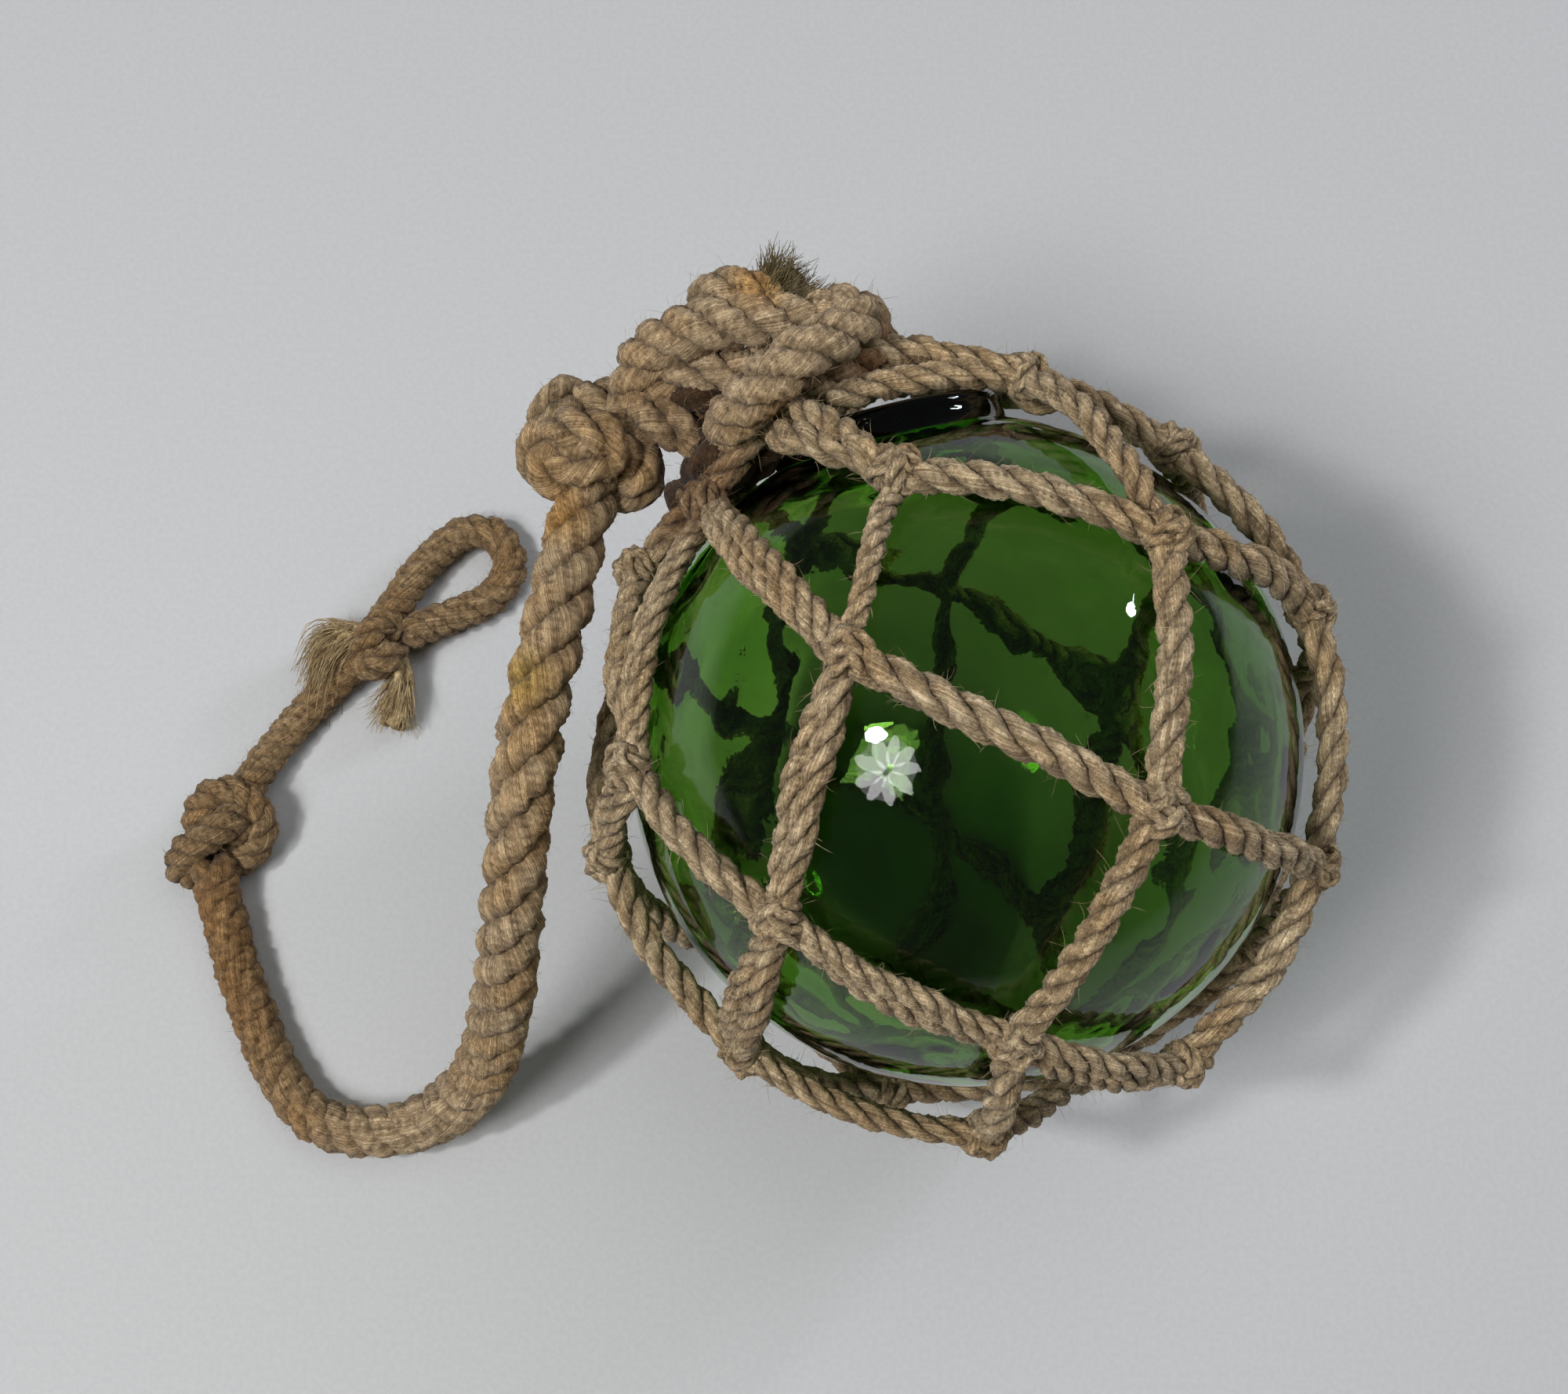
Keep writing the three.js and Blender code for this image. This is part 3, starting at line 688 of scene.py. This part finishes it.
# [angle round the net's axis, angle down from the head, millimetres over the usual radius]
# The angles of 22 knots come from a scratch script's printout, rounded, and some moved by hand.
RINGS = {
    "A": [(40, 31, 2), (4, 31, 4), (-88, 25, 0), (-194, 24, 1), (-200, 40, 3), (-242, 33, 2), (-282, 31, 2)],
    "B": [(-8, 55, 1), (-49, 58, 0), (-114, 52, 0), (-167, 65, 0), (-217, 61, 1), (-265, 60, 0),
          (-311, 58, 0)],
    "C": [(-19, 86, 2), (-78, 89, 0), (-136, 87, 0), (-183, 83, 3), (-242, 86, 0), (-290, 80, 0),
          (-336, 86, 0)],
    "D": [(-36, 122, 1), (-110, 117, 0), (-169, 117, 3), (-213, 119, 2), (-270, 121, 0),
          (-315, 106, 0), (-357, 116, 0)],
    "E": [(-75, 147, 4), (-135, 147, 5), (-190, 148, 6), (-239, 146, 2), (-290, 145, 2),
          (-336, 142, 2), (-19, 146, 2)],
}
RING_SIZE = 7
CLOSING = (0, 180, 4)
DOUBLED = {"A3 B2", "A3 B3", "A4 B3", "B2 C2", "B3 C3", "C2 D1", "C2 D2", "D1 E0", "D2 E1"}
LEG_RADIUS = 0.0036
# Radius of the legs that differ from the usual one.
LEG_RADII = {
    "A1 B1": 0.0034, "A2 B2": 0.0026, "B1 C0": 0.0037, "B2 C1": 0.0038, "C1 D0": 0.0037,
    "C1 D1": 0.0035,
}
PAIR_RADIUS = 0.0028
WRAP_RADIUS = 0.0023  # twine of the mesh knots
WRAP_LIFT = 0.0021  # nearest that its middle comes to the glass
TWINE_LAY = {"ridges": (), "yarns": (2, 0.30), "spin": 1.7}
HEAD_ANCHORS = [
    [(-0.026, 0.078, 0.112)],
    [(-0.024, 0.08, 0.122), (-0.031, 0.067, 0.124)],
    [(-0.042, 0.058, 0.128), (-0.037, 0.063, 0.129)],
    [(-0.05, 0.06, 0.117), (-0.047, 0.063, 0.118)],
    [(-0.054, 0.055, 0.109)],
    [(-0.05, 0.074, 0.107)],
    [(-0.04, 0.078, 0.106)],
]


def off_glass(points):
    return np.linalg.norm(points - CENTRE, axis=1) > BALL_RADIUS + 0.0002


def net_knot(place):
    around, polar = math.radians(place[0]), math.radians(place[1])
    way = (math.cos(polar) * NET_AXIS
           + math.sin(polar) * (math.cos(around) * NET_SIDE + math.sin(around) * NET_FRONT))
    return on_table(CENTRE + way * (NET_RADIUS + place[2] * MM), KNOT_REST)


def on_table(place, height):
    pressed = place[2] < BALL_RADIUS and math.hypot(place[0], place[1]) < PRESS_REACH
    place[2] = height if pressed else max(place[2], height)
    return place


def hug_radius(out, radius):
    from_seal = math.degrees(math.acos(np.clip(out @ SEAL_AXIS, -1, 1)))
    ease = np.clip((from_seal - 20) / 7, 0, 1)
    return HUG + radius + (1 - ease * ease * (3 - 2 * ease)) * SEAL_RISE


def leg_route(start, end, radius, shift=0.0, steps=8):
    """Middle line of a leg, bent round the glass from knot to knot."""
    a, b = start - CENTRE, end - CENTRE
    side = unit(np.cross(a, b))
    route = []
    for t in np.linspace(0, 1, steps + 1):
        out = unit(unit(a) * (1 - t) + unit(b) * t)
        chord = np.linalg.norm(a) * (1 - t) + np.linalg.norm(b) * t - MM
        reach = max(hug_radius(out, radius), chord if chord > NET_RADIUS else 0)
        spread = shift * max(math.sin(math.pi * t), 0.3)
        route.append(on_table(CENTRE + out * reach + side * spread, 0.9 * radius))
    return np.array(route)


def leg(bundle, rng, start, end, label, fuzz=0.15):
    """A leg of one twine, or two side by side."""
    def twine(radius, shift, lift=0.0):
        route = leg_route(start, end, radius, shift)
        sway = rng.normal(0, 0.35 * MM, route.shape) * np.sin(np.linspace(0, math.pi, len(route)))[:, None]
        route = route + sway + lift * unit(route - CENTRE)
        rope(bundle, rng, route, radius * rng.uniform(0.96, 1.04),
             5.6 * radius * rng.uniform(0.9, 1.15), step=1.2 * MM, sides=10, fuzz=fuzz, hair=LEG_HAIR,
             keep_off=off_glass, wander=0.05, **TWINE_LAY)

    if label in DOUBLED:
        twine(PAIR_RADIUS * rng.uniform(0.95, 1.15), -0.75 * PAIR_RADIUS)
        twine(PAIR_RADIUS * rng.uniform(0.95, 1.15), 0.75 * PAIR_RADIUS, lift=rng.uniform(0, 0.6 * MM))
    else:
        twine(LEG_RADII.get(label, LEG_RADIUS), 0.0)


def mesh_knot(bundle, rng, at, up, size=1.0):
    """A net knot: twine wrapped three times round the crossing legs, each wrap across the last.
    A wrap is its lean in degrees, turns, start in radians, and half width, depth and rise in mm."""
    out = unit(at - CENTRE)
    up = unit(up - out * (up @ out))
    side = np.cross(up, out)
    for lean, turns, start, wide, deep, rise in (
            (rng.uniform(8, 30), 1.8, 3.4, 4.0, 2.8, 3.6),
            (rng.uniform(-65, -40), 1.3, 0.4, 3.6, 3.6, 2.2),
            (rng.uniform(60, 100), 0.8, 2.2, 2.6, 3.8, 1.2)):
        tilt = math.radians(lean)
        axis = math.cos(tilt) * up + math.sin(tilt) * side
        across = np.cross(axis, out)
        turn = start + np.linspace(0, 2 * math.pi * turns, int(14 * turns))
        climb = np.linspace(-rise, rise, len(turn))
        fade = np.clip(np.minimum(np.arange(len(turn)), np.arange(len(turn))[::-1]) / 3, 0.55, 1)
        route = (at + size * MM * (across * (wide * fade * np.cos(turn))[:, None]
                                   + out * (deep * fade * np.sin(turn))[:, None]
                                   + axis * climb[:, None]))
        route[:, 2] = np.maximum(route[:, 2], WRAP_RADIUS)
        reach = np.linalg.norm(route - CENTRE, axis=1)
        route = CENTRE + unit(route - CENTRE) * np.maximum(reach, BALL_RADIUS + WRAP_LIFT)[:, None]
        rope(bundle, rng, route, WRAP_RADIUS * size, 0.013, step=1.0 * MM, sides=8, fuzz=0.15,
             hair=MESH_KNOT_HAIR, keep_off=off_glass, wander=0.06, **TWINE_LAY)


def net():
    rng = np.random.default_rng(SEED + 2)
    names = list(RINGS)
    knots = {name: [net_knot(place) for place in RINGS[name]] for name in names}
    closing = net_knot(CLOSING)
    bundles = {name: Bundle() for name in names}
    for name, following in zip(names, names[1:]):
        for i in range(RING_SIZE):
            for above in (i, (i + 1) % RING_SIZE):
                leg(bundles[name], rng, knots[name][above], knots[following][i],
                    f"{name}{above} {following}{i}")
    for i, anchors in enumerate(HEAD_ANCHORS):
        for anchor in anchors:
            leg(bundles["A"], rng, knots["A"][i], np.array(anchor), f"head A{i}")
    for at in knots["E"]:
        leg(bundles["E"], rng, at, closing, "E closing", fuzz=0.1)
    for name in names:
        for at in knots[name]:
            mesh_knot(bundles[name], rng, at, NET_AXIS)
    mesh_knot(bundles["E"], rng, closing, NET_SIDE, size=1.35)
    titles = {"A": "net_top", "B": "net_upper", "C": "net_middle", "D": "net_lower", "E": "net_closing"}
    for name in names:
        piece = bundles[name].object(titles[name], NET_JUTE)
        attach(piece, "root")
        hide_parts("net")


net()

# ---- head knot and stopper knot ----
HEAD_ARCH = [
    (-0.0761, 0.0712, 0.1), (-0.0743, 0.0753, 0.106), (-0.0715, 0.0796, 0.113), (-0.0667, 0.0822, 0.119),
    (-0.0607, 0.0827, 0.124), (-0.0538, 0.0834, 0.127), (-0.0467, 0.0836, 0.128),
    (-0.0396, 0.0844, 0.127), (-0.0327, 0.0862, 0.126), (-0.0268, 0.0855, 0.128),
    (-0.0249, 0.0811, 0.132), (-0.0287, 0.0765, 0.136), (-0.0344, 0.0728, 0.138),
    (-0.0396, 0.0693, 0.137), (-0.0446, 0.066, 0.134), (-0.0486, 0.0641, 0.128), (-0.0511, 0.063, 0.121),
    (-0.0523, 0.0633, 0.114),
]
HEAD_INNER = [
    (-0.0759, 0.0724, 0.098), (-0.071, 0.0737, 0.103), (-0.0679, 0.0761, 0.109), (-0.0631, 0.0773, 0.114),
    (-0.0568, 0.0771, 0.117), (-0.0499, 0.0763, 0.118), (-0.042, 0.0773, 0.12), (-0.0335, 0.0794, 0.121),
    (-0.026, 0.0809, 0.121),
]
HEAD_CORE = [
    (-0.0681, 0.071, 0.104), (-0.0626, 0.0722, 0.109), (-0.0562, 0.0733, 0.113), (-0.0489, 0.0742, 0.116),
    (-0.0403, 0.0752, 0.119), (-0.0318, 0.078, 0.12),
]
HEAD_RIGHT = [
    (-0.03, 0.0898, 0.121), (-0.0235, 0.088, 0.121), (-0.0204, 0.0836, 0.12), (-0.0225, 0.0784, 0.12),
    (-0.0277, 0.075, 0.121), (-0.0335, 0.0724, 0.122), (-0.0396, 0.0688, 0.121), (-0.044, 0.0657, 0.118),
    (-0.0468, 0.064, 0.113),
]
HEAD_TOP = [
    (-0.0575, 0.0866, 0.12), (-0.0577, 0.0896, 0.123), (-0.0549, 0.0916, 0.126), (-0.0505, 0.0913, 0.128),
    (-0.046, 0.0899, 0.128), (-0.042, 0.0875, 0.126), (-0.0386, 0.0852, 0.123),
]
HEAD_FOOT = [
    (-0.0783, 0.0727, 0.101), (-0.0732, 0.0695, 0.106), (-0.0677, 0.0683, 0.109),
    (-0.0632, 0.0664, 0.109), (-0.0609, 0.065, 0.106),
]
NECK_ROUTE = [
    (-0.042, 0.0701, 0.118), (-0.048, 0.066, 0.115), (-0.0524, 0.0621, 0.111), (-0.055, 0.0579, 0.107),
    (-0.0569, 0.0543, 0.102), (-0.0579, 0.0507, 0.097),
]
NECK_SIDE = [
    (-0.0386, 0.0688, 0.115), (-0.0424, 0.0641, 0.11), (-0.0455, 0.0598, 0.104), (-0.0488, 0.0557, 0.098),
]
TUFT = [
    (-0.0444, 0.0879, 0.122), (-0.0406, 0.0908, 0.1245), (-0.0369, 0.0937, 0.1265),
]
STOPPER_ROUTE = [
    (-0.0841, 0.0539, 0.096), (-0.085, 0.0614, 0.092), (-0.0859, 0.0694, 0.09), (-0.0871, 0.075, 0.092),
    (-0.0884, 0.0774, 0.097), (-0.0903, 0.076, 0.102), (-0.0919, 0.071, 0.104), (-0.094, 0.0662, 0.103),
    (-0.0947, 0.0617, 0.102), (-0.0925, 0.058, 0.102), (-0.0874, 0.0576, 0.104), (-0.0826, 0.0598, 0.108),
    (-0.0781, 0.0627, 0.108), (-0.0742, 0.0632, 0.104), (-0.072, 0.0606, 0.1), (-0.0735, 0.0576, 0.097),
    (-0.0779, 0.0576, 0.095), (-0.0821, 0.0622, 0.093), (-0.0844, 0.0683, 0.093),
    (-0.0849, 0.0728, 0.097), (-0.0839, 0.0757, 0.101), (-0.0812, 0.0754, 0.103), (-0.0785, 0.073, 0.101),
    (-0.0744, 0.0703, 0.103),
]
STOPPER_BAND = [
    (-0.0927, 0.0662, 0.102), (-0.0901, 0.0668, 0.107), (-0.0856, 0.0658, 0.111),
    (-0.0809, 0.0641, 0.112), (-0.0783, 0.0612, 0.11), (-0.0784, 0.0594, 0.104),
]
STOPPER_INSIDE = [
    (-0.0935, 0.0632, 0.1), (-0.0883, 0.0639, 0.105), (-0.0835, 0.0598, 0.105),
]


def clear_of_glass(points, radius):
    """The points pushed out until a rope of this radius along them lies clear of the ball."""
    arm = np.asarray(points) - CENTRE
    reach = np.linalg.norm(arm, axis=1, keepdims=True)
    return CENTRE + arm * np.maximum(1, (BALL_RADIUS + radius + 0.0003) / reach)


def head():
    rng = np.random.default_rng(SEED + 3)
    bundle, dark, frayed = Bundle(), Bundle(), Bundle()
    for points, radius, pitch, fuzz in (
            (HEAD_ARCH, 0.0060, 0.022, 0.32), (HEAD_INNER, 0.0056, 0.024, 0.3),
            (HEAD_RIGHT, 0.0052, 0.022, 0.3), (HEAD_TOP, 0.0047, 0.020, 0.3),
            (HEAD_FOOT, 0.0056, 0.022, 0.3)):
        rope(bundle, rng, clear_of_glass(points, radius), radius, pitch, step=0.9 * MM, sides=18,
             fuzz=fuzz, hair=HEAD_HAIR, keep_off=off_glass, wander=0.06)
    # The core and neck ropes take the darkened jute: painted shade under and inside the head knot.
    for points, radius in ((HEAD_CORE, 0.0062), (NECK_ROUTE, 0.0072), (NECK_SIDE, 0.0048)):
        rope(dark, rng, clear_of_glass(points, radius), radius, 0.034, step=0.9 * MM, sides=14,
             ridges=((3, 0.05),), fuzz=0.9, hair=NECK_HAIR, keep_off=off_glass, wander=0.08)
    rope(frayed, rng, TUFT, 0.0046, 0.03, step=0.8 * MM, sides=12, ridges=((4, 0.1), (7, 0.06)), fuzz=1.5)
    brush(frayed, rng, TUFT, 0.0052, 0.0074, 760, 0.18 * MM, (0.0055, 0.0120))
    for name, part, material, slot in (
            ("head_knot_rope", bundle, ROPE_JUTE, "rope_jute"),
            ("head_knot_core", dark, SHADED_NECK_JUTE, "rope_jute"),
            ("head_knot_tuft", frayed, OLIVE_FIBRE, "rope_jute")):
        piece = part.object(name, material)
        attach(piece, "root")
        if part is bundle:
            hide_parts("head_knot")


def stopper():
    rng = np.random.default_rng(SEED + 4)
    bundle = Bundle()
    for points, radius in ((STOPPER_ROUTE, 0.0056), (STOPPER_BAND, 0.0047), (STOPPER_INSIDE, 0.0052)):
        rope(bundle, rng, points, radius, 0.026, step=0.9 * MM, sides=18, fuzz=0.36, wander=0.05)
    piece = bundle.object("stopper_knot_rope", ROPE_JUTE)
    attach(piece, "root")
    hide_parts("stopper_knot")


head()
stopper()


# ---- floor and light ----
FLOOR_HALF = 3.0
# Directions from the ball's middle. A scratch script printed BULB and three of RING_LAMP's six, and
# UMBRELLA is the mean of four that it printed. The rest were set one by one.
UMBRELLA = np.array([-0.474, -0.309, 0.825])
BULB = (-0.528, -0.136, 0.838)
CEILING = (0.30, 0.30, 0.90)
RING_LAMP = [(0.71, 0.484, 0.512), (0.722, 0.545, 0.425), (0.738, 0.584, 0.338), (0.785, 0.53, 0.325),
             (0.812, 0.45, 0.37), (0.824, 0.345, 0.449)]
UMBRELLA_PANELS = 9
PANEL_SPREAD = 0.105
ROOM_LIGHT = 0.07


def floor():
    mesh = bpy.data.meshes.new("floor")
    half = FLOOR_HALF
    corners = [(-half, -half, 0), (half, -half, 0), (half, half, 0), (-half, half, 0)]
    mesh.from_pydata(corners, [], [(0, 1, 2, 3)])
    material, nodes, links = new_material("pale_table")
    place = nodes.new("ShaderNodeTexCoord").outputs["Object"]
    speckle = noise(nodes, links, place, (700, 700, 700), detail=2.0)
    colour = colour_ramp(
        nodes, links, speckle, ((0.35, (0.53, 0.535, 0.54)), (0.65, (0.56, 0.565, 0.57))))
    shader = add_node(nodes, "ShaderNodeBsdfPrincipled", **{"Roughness": 0.55, "Specular IOR Level": 0.3})
    links.new(colour, shader.inputs["Base Color"])
    output = nodes.new("ShaderNodeOutputMaterial")
    links.new(shader.outputs["BSDF"], output.inputs["Surface"])
    mesh.materials.append(material)
    table = bpy.data.objects.new("floor", mesh)
    bpy.context.scene.collection.objects.link(table)


def lamp(name, toward, distance, size, power, colour=(1, 1, 1), mirrored=True, spin=None):
    """An area light in a direction from the ball, turned to face it. spin is where its length points,
    and a lamp that isn't mirrored lights things without showing in the glass."""
    data = bpy.data.lights.new(name, "AREA")
    data.shape = "ELLIPSE"
    data.size, data.size_y = size
    data.energy = power
    data.color = colour
    light = bpy.data.objects.new(name, data)
    toward = unit(np.array(toward, float))
    light.location = CENTRE + toward * distance
    if spin is None:
        light.rotation_euler = Vector(toward).to_track_quat("Z", "Y").to_euler()
    else:
        length = unit(spin - toward * (spin @ toward))
        light.rotation_euler = Matrix((length, np.cross(toward, length), toward)).transposed().to_euler()
    light.visible_glossy = light.visible_transmission = mirrored
    bpy.context.scene.collection.objects.link(light)


def lights():
    """A photographer's umbrella with its bulb, a ring lamp, and a broad light from above."""
    umbrella = unit(UMBRELLA)
    across = unit(np.cross((0, 0, 1), umbrella))
    up = np.cross(umbrella, across)
    lamp("umbrella", umbrella, 1.65, (0.52, 0.58), 1.3)
    for k in range(UMBRELLA_PANELS):
        turn = 2 * math.pi * (k + 0.3) / UMBRELLA_PANELS
        spoke = math.cos(turn) * across * 0.95 + math.sin(turn) * up * 1.05
        lamp(f"panel_{k}", umbrella + PANEL_SPREAD * spoke, 1.6, (0.27, 0.115), 0.5, spin=spoke)
    lamp("key", umbrella, 1.6, (0.60, 0.75), 6.5, mirrored=False)
    lamp("bulb", BULB, 1.5, (0.12, 0.19), 7.5)
    lamp("ceiling", CEILING, 2.0, (2.2, 2.2), 11.5, mirrored=False)
    for k, (a, b) in enumerate(zip(RING_LAMP, RING_LAMP[1:])):
        a, b = np.array(a), np.array(b)
        lamp(f"ring_{k}", (a + b) / 2, 1.7, (1.7 * np.linalg.norm(b - a), 0.10), 1.6,
             colour=(0.85, 0.9, 1.0), spin=b - a)
    world = bpy.data.worlds.new("room")
    world.use_nodes = True
    world.node_tree.nodes["Background"].inputs["Color"].default_value = (0.93, 0.97, 1.0, 1)
    world.node_tree.nodes["Background"].inputs["Strength"].default_value = ROOM_LIGHT
    bpy.context.scene.world = world
    bpy.context.scene.view_settings.view_transform = "Standard"


floor()
lights()
